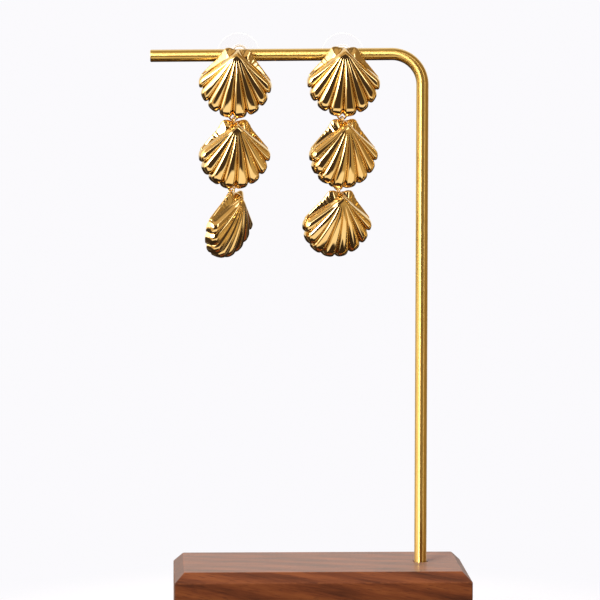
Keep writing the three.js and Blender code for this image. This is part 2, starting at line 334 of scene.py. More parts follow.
def report_fit(piece: bpy.types.Object, node: str) -> None:
    """Logs how far the piece's box differs from the box of the solid that it stands for.

    Args:
        piece: The new object.
        node: The solid's name.
    """
    corners = np.array([corner[:] for corner in piece.bound_box])
    low, high = (np.array(corner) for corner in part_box(node))
    off = np.concatenate([corners.min(0) - low, corners.max(0) - high]) / MM
    triangles = sum(len(polygon.vertices) - 2 for polygon in piece.data.polygons)
    LOG.info("%s: %d triangles, box off by %s mm", piece.name, triangles, np.round(off, 2).tolist())


class Bench:
    """A node tree with short ways to add and join nodes."""

    def __init__(self, tree: bpy.types.NodeTree) -> None:
        """Keeps the tree."""
        self.tree = tree

    def fill(self, node: bpy.types.Node, inputs: dict) -> bpy.types.Node:
        """Sets a node's inputs to values, or joins them to sockets.

        Args:
            node: The node.
            inputs: Values or output sockets, by the input's name or number.

        Returns:
            The node.
        """
        for key, value in inputs.items():
            if isinstance(value, Socket):
                self.tree.links.new(value, node.inputs[key])
            else:
                node.inputs[key].default_value = value
        return node

    def node(self, kind: str, inputs: dict | None = None, **settings: object) -> bpy.types.Node:
        """Adds a node.

        Args:
            kind: The node's type name without its ShaderNode prefix.
            inputs: Values or output sockets for its inputs.
            **settings: Properties of the node.

        Returns:
            The node.
        """
        node = self.tree.nodes.new("ShaderNode" + kind)
        for key, value in settings.items():
            setattr(node, key, value)
        return self.fill(node, inputs or {})

    def math(self, operation: str, *values: object) -> Socket:
        """Adds a Math node and gives its output."""
        return self.node("Math", dict(enumerate(values)), operation=operation).outputs[0]

    def scaled(self, value: object, factor: object, plus: object = 0) -> Socket:
        """Gives a value times a factor, plus another value."""
        return self.math("MULTIPLY_ADD", value, factor, plus)

    def blend(self, factor: object, below: object, above: object) -> Socket:
        """Mixes two colours by the share of the upper one."""
        inputs = {0: factor, 6: below, 7: above}
        return self.node("Mix", inputs, data_type="RGBA", clamp_factor=True).outputs[2]

    def ranged(
        self, value: object, low: float, high: float, to_low: float = 0, to_high: float = 1
    ) -> Socket:
        """Maps a value smoothly from the range low to high onto the range to_low to to_high."""
        inputs = {0: value, 1: low, 2: high, 3: to_low, 4: to_high}
        return self.node("MapRange", inputs, interpolation_type="SMOOTHSTEP").outputs[0]

    def mask(self, name: str) -> Socket:
        """Reads one of the piece's masks."""
        return self.node("Attribute", attribute_name=name).outputs["Fac"]

    def mapped(self, vector: object, **inputs: tuple) -> Socket:
        """Moves, turns or stretches coordinates."""
        return self.node("Mapping", {"Vector": vector, **inputs}).outputs[0]

    def noise(self, vector: object, scale: object, detail: float, roughness: float = 0.5) -> object:
        """Gives a noise between 0 and 1."""
        inputs = {"Vector": vector, "Scale": scale, "Detail": detail, "Roughness": roughness}
        return self.node("TexNoise", inputs).outputs[0]

    def length(self, vector: object) -> Socket:
        """Gives a vector's length."""
        return self.node("VectorMath", {0: vector}, operation="LENGTH").outputs["Value"]

    def bump(self, height: object, strength: float, distance: float) -> Socket:
        """Gives the normals of a surface raised by a height, with the distance in metres."""
        return self.node("Bump", {"Strength": strength, "Distance": distance, "Height": height}).outputs[0]

    def group(self, tree: bpy.types.NodeTree, **inputs: object) -> list[Socket]:
        """Places a node group with its own values and gives its outputs."""
        return list(self.node("Group", inputs, node_tree=tree).outputs)


def group_tree(
    name: str, inputs: dict[str, float | None], outputs: list[str]
) -> tuple[Bench, list[Socket], bpy.types.Node]:
    """Starts a shader node group.

    Args:
        name: The group's name.
        inputs: Its inputs: a starting value for numbers, None for vectors.
        outputs: Its number outputs.

    Returns:
        A bench on the group's tree, what the group is given, and the node that takes what it gives out.
    """
    tree = bpy.data.node_groups.new(name, "ShaderNodeTree")
    for key, value in inputs.items():
        kind = "NodeSocketVector" if value is None else "NodeSocketFloat"
        socket = tree.interface.new_socket(key, in_out="INPUT", socket_type=kind)
        if value is not None:
            socket.default_value = value
    for key in outputs:
        tree.interface.new_socket(key, in_out="OUTPUT", socket_type="NodeSocketFloat")
    given = tree.nodes.new("NodeGroupInput").outputs
    return Bench(tree), list(given)[: len(inputs)], tree.nodes.new("NodeGroupOutput")


class Effects:
    """Node groups that more than one finish uses, each built once."""

    def __init__(self) -> None:
        """Builds the groups."""
        self.grain = self.build_grain()
        self.rubbed = self.build_rubbed()

    @staticmethod
    def build_grain() -> bpy.types.NodeTree:
        """Builds mottle and speckle: a broad soft noise, and a fine one kept where it is strongest.

        Returns:
            The group.
        """
        bench, (place, broad, fine, cover), made = group_tree(
            "Surface grain", {"Vector": None, "Broad": 200, "Fine": 4000, "Cover": 0.5}, ["Mottle", "Speckle"]
        )
        mottle = bench.ranged(bench.noise(place, broad, detail=3, roughness=0.55), 0.3, 0.7)
        least = bench.math("SUBTRACT", 0.72, cover)
        kept = bench.math("SUBTRACT", bench.noise(place, fine, detail=2, roughness=0.6), least)
        bench.fill(made, {"Mottle": mottle, "Speckle": bench.ranged(kept, 0.12, 0.42)})
        return bench.tree

    @staticmethod
    def build_rubbed() -> bpy.types.NodeTree:
        """Builds rubbed edges: a mask from an edge value, broken up by noise.

        Returns:
            The group.
        """
        bench, (place, edge, scale, amount), made = group_tree(
            "Rubbed edges", {"Vector": None, "Edge": 0, "Scale": 900, "Amount": 0.5}, ["Mask"]
        )
        patchy = bench.scaled(edge, bench.ranged(bench.noise(place, scale, detail=3), 0.35, 0.65))
        bench.fill(made, {"Mask": bench.scaled(patchy, amount)})
        return bench.tree


def new_material(name: str) -> tuple[Material, Bench, bpy.types.Node]:
    """Starts a material.

    Args:
        name: Its name.

    Returns:
        The material, a bench on its tree and its Principled shader.
    """
    material = bpy.data.materials.new(name)
    material.use_nodes = True
    return material, Bench(material.node_tree), material.node_tree.nodes["Principled BSDF"]


def colour(red: float, green: float, blue: float) -> tuple[float, float, float, float]:
    """Gives an opaque linear colour."""
    return (red, green, blue, 1)


@dataclass(frozen=True)
class PolishedGold:
    """Bright gold plate over a casting, a little unevenly darker and duller where the groove mask is high: in
    the grooves, in the pits between the beads and over the back's hollow.
    """

    pale: tuple = colour(0.96, 0.71, 0.33)
    deep: tuple = colour(0.93, 0.63, 0.25)
    groove: tuple = colour(0.60, 0.42, 0.20)
    smooth: float = 0.055
    dull: float = 0.3
    wear: float = 0.6

    def build(self, effects: Effects) -> Material:
        """Builds the material.

        Args:
            effects: The shared node groups.

        Returns:
            The material.
        """
        material, bench, shader = new_material("polished_gold")
        place = bench.node("TexCoord").outputs["Object"]
        groove, edge = bench.mask("groove"), bench.mask("edge")
        mottle, speckle = bench.group(effects.grain, Vector=place, Broad=260, Fine=5200, Cover=0.42)
        (rub,) = bench.group(effects.rubbed, Vector=place, Edge=edge, Scale=1500, Amount=self.wear)
        # Darker, duller gold where the groove mask is high (grooves, bead pits, back hollow), made a little
        # uneven by the speckle.
        groove_darkening = bench.scaled(bench.ranged(groove, 0.35, 0.95), bench.ranged(speckle, 0, 1, 0.8, 1))
        base = bench.blend(bench.scaled(mottle, 0.7), self.pale, self.deep)
        base = bench.blend(bench.scaled(groove_darkening, 0.8), base, self.groove)
        uneven = bench.scaled(mottle, 0.035, self.smooth)
        height = bench.scaled(bench.scaled(groove, speckle), -0.03, bench.scaled(mottle, 0.35))
        inputs = {
            "Base Color": bench.blend(rub, base, self.pale),
            "Metallic": 1,
            "Roughness": bench.scaled(groove_darkening, self.dull - self.smooth, uneven),
            "Normal": bench.bump(height, strength=0.2, distance=0.00005),
        }
        bench.fill(shader, inputs)
        return material


@dataclass(frozen=True)
class SatinBrass:
    """Drawn brass rod with fine rings from finishing and a little tarnish."""

    bright: tuple = colour(0.95, 0.66, 0.21)
    tarnish: tuple = colour(0.84, 0.53, 0.15)
    smooth: float = 0.34
    wear: float = 0.9

    def build(self, effects: Effects) -> Material:
        """Builds the material; the finishing rings follow the rod's length in the UV map.

        Args:
            effects: The shared node groups.

        Returns:
            The material.
        """
        material, bench, shader = new_material("satin_brass")
        coordinates = bench.node("TexCoord").outputs
        place, unrolled = coordinates["Object"], coordinates["UV"]
        rings = bench.noise(bench.mapped(unrolled, Scale=(1.5, 1, 1)), 9000, detail=2)
        streaks = bench.noise(bench.mapped(unrolled, Scale=(30, 60, 1)), 1.5, detail=4)
        speckle = bench.group(effects.grain, Vector=place, Broad=130, Fine=3000, Cover=0.3)[1]
        edge = bench.mask("edge")
        (rub,) = bench.group(effects.rubbed, Vector=place, Edge=edge, Scale=1200, Amount=self.wear)
        aged = bench.scaled(bench.ranged(streaks, 0.35, 0.7), 0.45)
        base = bench.blend(bench.scaled(speckle, 0.12, aged), self.bright, self.tarnish)
        inputs = {
            "Base Color": bench.blend(rub, base, self.bright),
            "Metallic": 1,
            "Roughness": bench.scaled(streaks, 0.06, self.smooth),
            "Anisotropic": 1,
            "Anisotropic Rotation": 0.25,
            "Tangent": bench.node("Tangent", direction_type="UV_MAP", uv_map="UVMap").outputs[0],
            "Normal": bench.bump(bench.scaled(streaks, 0.3, rings), strength=0.08, distance=0.00002),
        }
        bench.fill(shader, inputs)
        return material


@dataclass(frozen=True)
class OiledWalnut:
    """Oiled walnut: growth layers round a pith line that runs a little askew of the block, and pores."""

    dark: tuple = colour(0.038, 0.0095, 0.003)
    middle: tuple = colour(0.115, 0.028, 0.0075)
    light: tuple = colour(0.2, 0.055, 0.014)
    end_dark: tuple = colour(0.05, 0.02, 0.011)
    bloom: tuple = colour(1, 0.72, 0.55)
    smooth: float = 0.47
    layer: float = 0.0052
    pith: tuple = (0, 0.028, 0.05)
    pith_turn: tuple = (0.35, -0.2, 0.02)
    wear: float = 0.55

    def build(self, effects: Effects) -> Material:
        """Builds the material.

        Args:
            effects: The shared node groups.

        Returns:
            The material.
        """
        material, bench, shader = new_material("oiled_walnut")
        coordinates = bench.node("TexCoord").outputs
        place = coordinates["Object"]
        askew = bench.mapped(place, Location=self.pith, Rotation=self.pith_turn)
        warp = bench.noise(bench.mapped(askew, Scale=(0.12, 1, 1)), 45, detail=3)
        radius = bench.length(bench.mapped(askew, Scale=(0, 1, 1)))
        wave = bench.math("SINE", bench.scaled(bench.scaled(warp, 0.009, radius), 2 * np.pi / self.layer))
        drawn = bench.mapped(askew, Scale=(0.035, 1, 1))
        fibre = bench.noise(drawn, 2600, detail=4, roughness=0.65)
        band = bench.noise(drawn, 420, detail=3, roughness=0.6)
        pore_place = bench.mapped(askew, Scale=(0.06, 1, 1))
        pores = bench.node("TexVoronoi", {"Vector": pore_place, "Scale": 2300, "Randomness": 1})
        pore = bench.ranged(pores.outputs["Distance"], 0.28, 0.12)
        mottle = bench.group(effects.grain, Vector=place, Broad=90, Fine=2500, Cover=0.35)[0]
        tone = bench.scaled(bench.math("SUBTRACT", fibre, 0.5), 0.45, bench.scaled(wave, 0.09, band))
        ramp = bench.node("ValToRGB", {0: tone})
        stops = ramp.color_ramp.elements
        stops[0].position, stops[0].color = 0.24, self.dark
        stops[1].position, stops[1].color = 0.8, self.light
        stops.new(0.5).color = self.middle
        base = bench.blend(bench.scaled(pore, 0.55), ramp.outputs[0], self.dark)
        base = bench.blend(bench.scaled(mottle, 0.25), base, self.middle)
        facing = bench.node("SeparateXYZ", {0: coordinates["Normal"]}).outputs[0]
        end = bench.ranged(bench.math("ABSOLUTE", facing), 0.4, 0.65)
        base = bench.blend(bench.scaled(end, 0.6), base, self.end_dark)
        edge = bench.mask("edge")
        (rub,) = bench.group(effects.rubbed, Vector=place, Edge=edge, Scale=500, Amount=self.wear)
        height = bench.scaled(pore, -0.7, bench.scaled(fibre, 0.5))
        inputs = {
            "Base Color": bench.blend(rub, base, self.light),
            "Roughness": bench.scaled(end, 0.1, bench.scaled(fibre, 0.1, self.smooth)),
            "Specular IOR Level": 0.12,
            "Coat Weight": 0.14,
            "Coat Roughness": 0.16,
            "Sheen Weight": 0.24,
            "Sheen Roughness": 0.4,
            "Sheen Tint": self.bloom,
            "Normal": bench.bump(height, strength=0.3, distance=0.00012),
        }
        bench.fill(shader, inputs)
        return material


@dataclass(frozen=True)
class ClearPlastic:
    """Clear soft plastic with a faint warm tint and handling marks."""

    tint: tuple = colour(1, 0.995, 0.995)
    hazed: tuple = colour(0.99, 0.975, 0.975)
    smooth: float = 0.04

    def build(self, effects: Effects) -> Material:
        """Builds the material.

        Args:
            effects: The shared node groups.

        Returns:
            The material.
        """
        material, bench, shader = new_material("clear_plastic")
        place = bench.node("TexCoord").outputs["Object"]
        mottle, speckle = bench.group(effects.grain, Vector=place, Broad=350, Fine=3500, Cover=0.3)
        inputs = {
            "Base Color": bench.blend(bench.scaled(mottle, 0.5), self.tint, self.hazed),
            "Roughness": bench.scaled(speckle, 0.08, self.smooth),
            "Transmission Weight": 1,
            "IOR": 1.22,
            "Normal": bench.bump(mottle, strength=0.04, distance=0.00003),
        }
        bench.fill(shader, inputs)
        return material


@dataclass
class WalnutBlock:
    """The block: straight sides, a chamfer round the top and a blind hole for the upright."""

    length: float = 76.2
    depth: float = 38.1
    height: float = 19.05
    chamfer: float = 2.5
    corner: float = 0.35
    edge: float = 0.22
    foot_inset: float = 1.5
    top_inset: float = 3.7
    hole_x: float = 26.1
    hole_radius: float = 3.175 / 2 + 0.3
    hole_lip: float = 0.1
    hole_depth: float = 12

    def outline(self, inset: float) -> np.ndarray:
        """Gives a rectangle with rounded corners, inset from the block's sides.

        Straight runs are divided evenly, and each corner is a quarter circle.

        Args:
            inset: How far inside the block's plan it lies.

        Returns:
            Points by 2, once round.
        """
        half = np.array([self.length, self.depth]) / 2 - inset
        centres = (half - self.corner) * np.array([[1, 1], [-1, 1], [-1, -1], [1, -1]])
        angle = np.linspace(0, np.pi / 2, 6) + np.arange(4)[:, None] * np.pi / 2
        arcs = centres[:, None] + self.corner * np.stack([np.cos(angle), np.sin(angle)], axis=-1)
        share = np.array([0.004, *np.linspace(0.05, 0.95, 19), 0.996])[:, None]
        last, following = arcs[:, -1:], np.roll(arcs, -1, axis=0)[:, :1]
        return np.concatenate([arcs, last + share * (following - last)], axis=1).reshape(-1, 2)

    def surface(self) -> Patch:
        """Gives the block's skin: rows run from under the block, up its sides and over to the hole.

        The rounded rectangle shrinks along a softened profile of inset and height; then the top runs in
        straight lines to the circle of the hole, which goes down to its floor.

        Returns:
            The closed surface, with an edge mask that is 1 on the rounded edges.
        """
        corners = [
            (self.foot_inset, 0),
            (0, 0),
            (0, self.height - self.chamfer),
            (self.chamfer, self.height),
            (self.top_inset, self.height),
        ]
        profile = softened(corners, [0, self.edge, self.edge, self.edge, 0])
        rows = np.stack([np.insert(self.outline(inset), 2, z, axis=1) for inset, z in profile])
        rim = rows[-1]
        angle = np.arctan2(rim[:, 1], rim[:, 0] - self.hole_x)
        spoke = np.column_stack([np.cos(angle), np.sin(angle), 0 * angle])
        radius = self.hole_radius + np.array([self.hole_lip, 0.06, 0, 0, 0, 0])[:, None, None]
        down = np.array([0, 0.03, 0.15, 0.5, 3, self.hole_depth])[:, None, None] * (0, 0, -1)
        hole = np.array([self.hole_x, 0, self.height]) + radius * spoke + down
        across = rim + np.array([0.3, 0.6, 0.85, 0.97])[:, None, None] * (hole[0] - rim)
        points = np.concatenate([rows, across, hole])
        # Each rounding takes seven rows of the profile, and all but its two outer rows lie on the arc.
        edge = np.zeros(points.shape[:2])
        edge[: len(profile)] = (np.arange(len(profile)) % 7 > 1)[:, None]
        floor = np.array([self.hole_x, 0, self.height - self.hole_depth])
        return Patch(points, np.zeros(3), floor, {"edge": edge})

    def build(self) -> bpy.types.Object:
        """Builds the piece."""
        return make_piece(
            "block", [self.surface()], np.eye(4), "stand", "walnut_block", crease_deg=50
        )

    def dress(self, piece: bpy.types.Object, effects: Effects) -> None:
        """Gives it oiled walnut."""
        piece.data.materials.append(OiledWalnut().build(effects))


@dataclass
class BrassRod:
    """The rod: an upright in the block, a quarter bend and an arm that droops a little."""

    radius: float = 3.175 / 2
    foot_z: float = 19.05 - 12 + 0.3
    upright_x: float = 26.1
    arm_z: float = 19.05 + 132
    arm_end_x: float = -44.1
    bend: float = 7.9
    droop_deg: float = 0.45
    end_round: float = 0.3
    step: float = 0.8
    sides: int = 72

    def arm_height(self, x: float) -> float:
        """Gives the height of the arm's centre line at a place along X."""
        return self.arm_z - (self.upright_x - self.bend - x) * np.tan(np.radians(self.droop_deg))

    def path(self) -> np.ndarray:
        """Gives the centre line: straight up, round the bend by an arc, straight along the arm.

        Returns:
            Points by 3, closest together at both ends.
        """
        ends = np.array([0, 0.02, 0.06, 0.12, 0.2, 0.3])
        bend_x, bend_z = self.upright_x - self.bend, self.arm_z - self.bend
        up = np.arange(self.foot_z + 1, bend_z - self.step / 2, self.step)
        up = np.concatenate([self.foot_z + ends, up])
        turn = np.radians(np.linspace(0, 90 + self.droop_deg, 34))
        arm = np.arange(bend_x - self.step, self.arm_end_x + self.step, -self.step)
        arm = np.concatenate([arm, self.arm_end_x + ends[::-1]])
        x = np.concatenate([np.full(len(up), self.upright_x), bend_x + self.bend * np.cos(turn), arm])
        z = np.concatenate([up, bend_z + self.bend * np.sin(turn), self.arm_height(arm)])
        return np.column_stack([x, 0 * x, z])

    def surface(self) -> Patch:
        """Gives the rod's skin; its ends are rounded off by a quarter circle in length and radius.

        Returns:
            The closed surface, with an edge mask that is 1 at its ends.
        """
        path = self.path()
        steps = np.linalg.norm(np.diff(path, axis=0), axis=1)
        along = np.concatenate([[0], np.cumsum(steps)])
        from_end = np.minimum(along, along[-1] - along)
        short = np.clip(1 - from_end / self.end_round, 0, 1)
        radius = self.radius - self.end_round * (1 - np.sqrt(1 - short**2))
        made = tube(path, (0, 1, 0), radius, self.sides)
        made.masks["edge"] = np.repeat(short[:, None] > 0.01, self.sides, axis=1).astype(float)
        return made

    def build(self) -> bpy.types.Object:
        """Builds the piece."""
        return make_piece("rod", [self.surface()], np.eye(4), "stand", "brass_rod")

    def dress(self, piece: bpy.types.Object, effects: Effects) -> None:
        """Gives it satin brass."""
        piece.data.materials.append(SatinBrass().build(effects))


@dataclass
class ScallopShell:
    """One shell: ribs that fan out from the umbo to blunt lobes, two beaded ears and a hollow back.

    Its own frame has the rim circle's centre at the origin and its flat back in the plane y = 0.
    """

    rim_radius: float = 9.45
    umbo_z: float = 7.6
    rib_count: int = 8
    rib_pitch_deg: float = 13.5
    rib_depth: float = 0.33
    rib_start: float = 1.5
    rib_full: float = 5.4
    groove_narrowness: float = 3.4
    groove_sharpness: float = 0.75
    lobe_notch: float = 1.15
    lobe_bluntness: float = 4
    umbo_height: float = 3
    belly_height: float = 4.4
    belly_share: float = 0.55
    side_drop: float = 1.5
    umbo_radius: float = 0.6
    umbo_reach: float = 3.8
    flank_round: float = 1.3
    lobe_front: float = 0.86
    rim_height: float = 0.55
    plate_height: float = 1.1
    plate_clear: float = 1.06
    outline_blur: float = 0.28
    hollow_z: float = -0.5
    hollow_radius: float = 7
    hollow_top_z: float = 4.4
    hollow_depth: float = 2.9
    hollow_darkening: float = 0.6
    bead_pitch: float = 1.2
    bead_height: float = 0.06
    ear_slope: float = 0.62
    ear_from: tuple = (3.6, 5.2)
    slope_from: tuple = (0.9, 2.4)
    slope_width: float = 2.4
    ear_outline: tuple = (
        (8.8, 0.6),
        (9.05, 1.1),
        (6.15, 4.4),
        (4.7, 6.1),
        (3.7, 7.85),
        (3.0, 8.55),
        (1.9, 8.6),
        (1.0, 8.3),
        (0.0, 8.2),
    )

    @property
    def pitch(self) -> float:
        """Angle of one rib."""
        return np.radians(self.rib_pitch_deg)

    @property
    def fan_half(self) -> float:
        """Angle from straight down to the fan's side."""
        return self.pitch * self.rib_count / 2

    def angles(self) -> np.ndarray:
        """Gives directions round the umbo from straight down: close over the ribs, wider over the flanks.

        Returns:
            Angles from -pi to pi, once round.
        """
        steps = 20
        across = 0.5 - 0.5 * np.cos(np.pi * np.arange(steps) / steps)
        ribs = (np.arange(self.rib_count)[:, None] + across).ravel() * self.pitch - self.fan_half
        ribs = np.append(ribs, self.fan_half)
        flank_end = np.pi / 2 - self.flank_angle()
        share = np.array([0.04, 0.09, 0.15, 0.22, 0.3, 0.4, 0.52, 0.66, 0.82, 1])
        flank = self.fan_half + share * flank_end
        cap = np.linspace(flank[-1], np.pi, 11)[1:]
        side = np.concatenate([flank, cap])
        return np.concatenate([-side[:-1][::-1], ribs, side])

    def from_crest(self, angle: np.ndarray) -> np.ndarray:
        """Gives 0 on a rib's crest and 1 in the grooves beside it: twice the distance from its middle."""
        across = np.minimum(angle, self.fan_half) / self.pitch
        return np.abs(2 * (across - np.floor(np.minimum(across, self.rib_count / 2 - 1e-9)) - 0.5))

    def circle_distance(self, angle: np.ndarray) -> np.ndarray:
        """Gives the rim circle's distance from the umbo along directions from straight down."""
        side = self.umbo_z * np.sin(angle)
        return self.umbo_z * np.cos(angle) + np.sqrt(self.rim_radius**2 - side**2)

    def rim_distance(self, angle: np.ndarray) -> np.ndarray:
        """Gives the rim's distance from the umbo, drawn in by a power of the distance from each crest.

        Args:
            angle: Directions from straight down, not negative.

        Returns:
            Distances.
        """
        notch = self.lobe_notch * self.from_crest(angle) ** self.lobe_bluntness
        return self.circle_distance(angle) - notch

    def flank_angle(self) -> float:
        """Gives the angle by which the flank leaves the last rib's edge."""
        return float(np.arcsin(self.umbo_radius / self.rim_distance(np.array(self.fan_half))))

    def outline(self, angle: np.ndarray) -> np.ndarray:
        """Gives the fan's outline as distance from the umbo: lobes, a straight flank, then a round cap.

        Args:
            angle: Directions from straight down, not negative.

        Returns:
            Distances.
        """
        off = np.maximum(angle - self.fan_half + self.flank_angle(), 1e-6)
        flank = self.umbo_radius / np.sin(np.minimum(off, np.pi / 2))
        return np.where(angle <= self.fan_half, self.rim_distance(np.minimum(angle, self.fan_half)), flank)

    def front_height(self, share: np.ndarray, angle: np.ndarray) -> tuple[np.ndarray, np.ndarray]:
        """Gives the front's height above the back at a share of the way from the umbo to the outline.

        The crest line is a parabola through the umbo, highest at the belly; near the umbo it follows the
        downward distance alone, so the surface has no point there. Each rib is round across, and the
        grooves deepen with the ribs' width. At the lobes the height falls by the cube root of one less the
        cube of the share of the last stretch; along the flanks and over the umbo by a quarter ellipse.

        Args:
            share: Shares of the way out, as a column.
            angle: Directions from straight down, not negative, as a row.

        Returns:
            The heights, and how deep in a groove each point lies, from 0 to 1.
        """
        distance = share * self.outline(angle)
        turn = np.minimum(angle, self.fan_half)
        away = smoothstep(distance, 0, self.umbo_reach)
        downward = np.cos(angle) + (1 - np.cos(angle)) * away
        reach = distance * downward / (self.belly_share * self.circle_distance(turn))
        drop = self.side_drop * away * (turn / self.fan_half) ** 2
        crown = self.umbo_height + (self.belly_height - self.umbo_height - drop) * reach * (2 - reach)
        fade = smoothstep(distance, self.rib_start, self.rib_full)
        depth = self.rib_depth * distance * self.pitch * fade
        across = self.from_crest(turn) ** self.groove_narrowness
        groove = 1 - (1 - across) ** self.groove_sharpness
        body = crown - depth * groove
        off = np.clip(angle - self.fan_half + self.flank_angle(), -np.pi / 2, np.pi / 2)
        to_side = (self.umbo_radius - distance * np.sin(off)) / self.flank_round
        flank = np.sqrt(1 - np.clip(1 - to_side, 0, 1) ** 2)
        past = np.clip((share - self.lobe_front) / (1 - self.lobe_front), 0, 1)
        blunt = (1 - past**3) ** (1 / 3)
        beyond = smoothstep(angle, self.fan_half, self.fan_half + 0.25 * self.flank_angle())
        edge = flank * (beyond + (1 - beyond) * blunt)
        height = self.rim_height + (body - self.rim_height) * edge
        return height, groove * fade * (1 - beyond) * smoothstep(-share, -0.97, -0.9)

    def hollow(self, x: np.ndarray, z: np.ndarray) -> tuple[np.ndarray, np.ndarray]:
        """Gives how the hollow's outline lies from its centre, in the directions of given points.

        The outline is a circle drawn up towards the umbo by half of one less the cosine of the direction
        from straight down.

        Args:
            x: The points' places across.
            z: Their heights.

        Returns:
            Unit vectors, points by 3, and the outline's distances as a column.
        """
        towards = np.arctan2(x, self.hollow_z - z)
        lift = (1 - np.cos(towards)) / 2
        reach = self.hollow_radius + lift * (self.hollow_top_z - self.hollow_z - self.hollow_radius)
        return np.column_stack([np.sin(towards), 0 * towards, -np.cos(towards)]), reach[:, None]

    def fan(self) -> Patch:
        """Gives the fan: rows run from the umbo over the front to the rim, then behind into the hollow.

        A front point lies at (d sin a, -height, umbo - d cos a). Behind, each column runs straight towards
        the hollow's centre, and the hollow's dome is the root of one less the fourth power of the share of
        the way to its outline.

        Returns:
            The closed surface with a groove mask and an edge mask along the lobes' brows.
        """
        angle = self.angles()
        turn = np.abs(angle)
        over_end = 1 - (1 - np.linspace(0, 1, 27)[1:]) ** 1.8
        share = np.linspace(0.02, self.lobe_front, 40)
        share = np.concatenate([share, self.lobe_front + (1 - self.lobe_front) * over_end])
        height, groove = self.front_height(share[:, None], turn[None])
        distance = share[:, None] * self.outline(turn)
        front = np.stack(
            [distance * np.sin(angle), -height, self.umbo_z - distance * np.cos(angle)], axis=-1
        )
        rim = front[-1] * (1, 0, 1)
        spoke, reach = self.hollow(rim[:, 0], rim[:, 2])
        centre = np.array([0, 0, self.hollow_z])
        brim = centre + reach * spoke
        inward = (brim - rim) / np.linalg.norm(brim - rim, axis=1, keepdims=True)
        back = [
            rim + (0, -0.25, 0),
            rim + 0.08 * inward + (0, -0.08, 0),
            rim + 0.25 * inward,
            0.5 * (rim + brim),
            brim - 0.15 * inward,
            brim + (0, -0.1, 0),
        ]
        inner = np.array([0.995, 0.98, 0.95, 0.9, 0.82, 0.7, 0.55, 0.38, 0.2, 0.06])[:, None, None]
        dome = centre + inner * reach * spoke - self.hollow_depth * np.sqrt(1 - inner**4) * (0, 1, 0)
        points = np.concatenate([front, np.stack(back), dome])
        marks, edge = np.zeros(points.shape[:2]), np.zeros(points.shape[:2])
        marks[: len(share)] = groove
        # The back's hollow takes a fixed share of the groove mask, so its gold comes out darker and duller.
        marks[-len(dome) :] = self.hollow_darkening
        edge[: len(share)] = (1 - groove) * smoothstep(np.abs(share - self.lobe_front), 0.03, 0)[:, None]
        umbo = np.array([0, -self.umbo_height, self.umbo_z])
        deepest = np.array([0, -self.hollow_depth, self.hollow_z])
        return Patch(points, umbo, deepest, {"groove": marks, "edge": edge})

    def ears(self) -> Patch:
        """Gives the plate of the two ears: a flat strip round the umbo with beads along its outer edge.

        Stations run along the plate's outline from lobe to lobe. At each, the section goes from an inner
        line just outside the hollow to the outline and back, sloping down outwards, and the beads lift it
        by a raised cosine along the edge.

        Returns:
            The closed surface with a groove mask between the beads and an edge mask on them.
        """
        right = np.array(self.ear_outline)
        whole = np.vstack([right, (right[:-1] * (-1, 1))[::-1]])
        along = np.concatenate([[0], np.cumsum(np.linalg.norm(np.diff(whole, axis=0), axis=1))])
        at = np.linspace(0, along[-1], 261)
        spread = np.arange(-8, 9) * (at[1] - at[0])
        weight = np.exp(-((spread / self.outline_blur) ** 2))
        weight /= weight.sum()
        near = np.clip(at[:, None] + spread, 0, along[-1])
        outer = np.stack([np.interp(near, along, whole[:, i]) @ weight for i in (0, 1)], axis=-1)
        spoke, reach = self.hollow(outer[:, 0], outer[:, 1])
        inner = self.plate_clear * reach * spoke[:, ::2] + (0, self.hollow_z)
        across = np.array([0, 0.3, 0.5, 0.65, 0.78, 0.88, 0.94, 0.975, 0.995, 1, 1, 0.985, 0.5, 0])
        height = np.array([1, 1, 1, 1, 1, 1, 0.98, 0.92, 0.8, 0.62, 0.2, 0, 0, 0])
        width = np.linalg.norm(outer - inner, axis=1)[:, None]
        from_edge = (1 - across) * width
        bump = np.cos(np.pi * at / self.bead_pitch)[:, None] ** 2
        on_ear = smoothstep(outer[:, 1], *self.ear_from)[:, None]
        row_mask = smoothstep(-from_edge, -3.2, -0.3) * (height > 0.1)
        beads = on_ear * row_mask * bump
        slope = self.ear_slope * (np.minimum(from_edge, self.slope_width) - 1)
        slope = slope * smoothstep(outer[:, 1], *self.slope_from)[:, None]
        lifted = (self.plate_height + slope) * height + self.bead_height * (beads - 0.5 * on_ear * row_mask)
        out = on_ear * (across > 0.9) * (0.05 * bump * (height > 0.3) - 0.06)
        along_section = (across * width + out)[..., None]
        flat = inner[:, None] + along_section * ((outer - inner) / width)[:, None]
        points = np.stack([flat[..., 0], -lifted, flat[..., 1]], axis=-1)
        pits = on_ear * row_mask * (1 - bump)
        first, last = points[0].mean(axis=0), points[-1].mean(axis=0)
        return Patch(points, first, last, {"groove": 0.8 * pits, "edge": 0.5 * beads})


